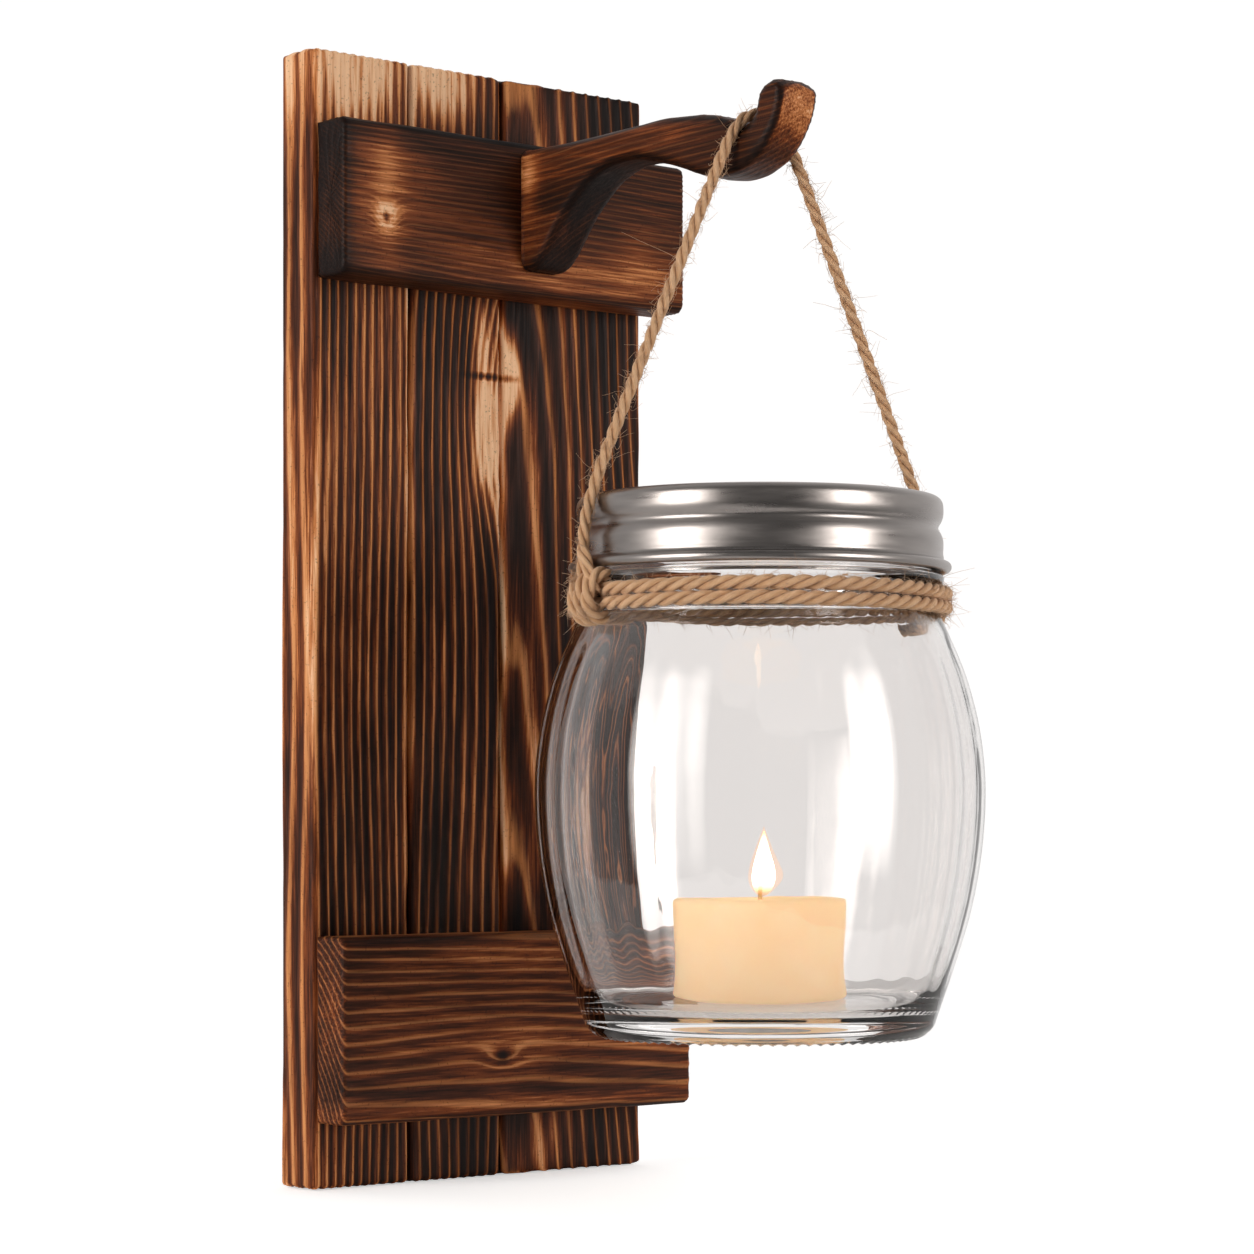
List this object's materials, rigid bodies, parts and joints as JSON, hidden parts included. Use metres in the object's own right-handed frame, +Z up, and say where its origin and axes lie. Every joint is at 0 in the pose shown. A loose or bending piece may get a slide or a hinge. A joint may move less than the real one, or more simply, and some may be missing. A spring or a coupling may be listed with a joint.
{
  "type": "mason jar lantern",
  "caption": "Wall board of planks and battens with a wooden hook, from which a glass jar with a screw band and a candle hangs by a twine handle.",
  "frame": {"origin": "where the wall screw sits at the top of the hanger's keyhole, on the board's back face", "axes": "+Z up, +X to the right across the board as seen from the room, +Y into the wall"},
  "size_m": [0.1195, 0.167, 0.291],
  "materials": {
    "plank_pine": "torched and oiled",
    "batten_pine": "torched and oiled",
    "hook_pine": "torched dark",
    "screw_steel": "zinc plated",
    "hanger_steel": "zinc plated",
    "jar_glass": "clear pressed",
    "band_steel": "satin tinplate",
    "candle_wax": "ivory wax",
    "wick_cotton": "charred braid",
    "holder_steel": "pressed tin",
    "jute_twine": "hairy jute"
  },
  "bodies": {
    "board": {"plank_left": "plank_pine", "plank_middle": "plank_pine", "plank_right": "plank_pine", "upper_batten": "batten_pine", "lower_batten": "batten_pine", "hook": "hook_pine", "upper_batten_screws": "screw_steel", "lower_batten_screws": "screw_steel", "hook_screws": "screw_steel", "keyhole_hanger": "hanger_steel", "hanger_screws": "screw_steel"},
    "bight": {"twine_bight": "jute_twine"},
    "handle": {"twine_strand_left": "jute_twine", "twine_strand_right": "jute_twine"},
    "jar": {"glass_jar": "jar_glass", "twine_neck_wraps": "jute_twine", "twine_riser_left": "jute_twine", "twine_riser_right": "jute_twine", "twine_knot_left": "jute_twine", "twine_knot_right": "jute_twine"},
    "band": {"screw_band": "band_steel"},
    "candle": {"candle": "candle_wax", "wick": "wick_cotton", "wick_holder": "holder_steel"}
  },
  "joints": [
    {"name": "sway", "type": "hinge", "parent": "board", "child": "bight", "pos_m": [0.0031, -0.112, -0.02075], "axis": [0.2079, 0.9781, 0], "range_deg": [-12, 12]},
    {"name": "swing", "type": "hinge", "parent": "bight", "child": "handle", "pos_m": [0.0031, -0.112, -0.01724], "axis": [0.9781, -0.2079, 0], "range_deg": [-18, 9]},
    {"name": "jar_tilt", "type": "hinge", "parent": "handle", "child": "jar", "pos_m": [0.0031, -0.112, -0.1082], "axis": [-0.9781, 0.2079, 0], "range_deg": [-10, 10]},
    {"name": "band_turn", "type": "hinge", "parent": "jar", "child": "band", "pos_m": [0.0031, -0.112, -0.115], "axis": [0, 0, 1], "range_deg": [0, 360]},
    {"name": "candle_lift", "type": "slide", "parent": "jar", "child": "candle", "axis": [0, 0, 1], "range_m": [0, 0.125]}
  ]
}
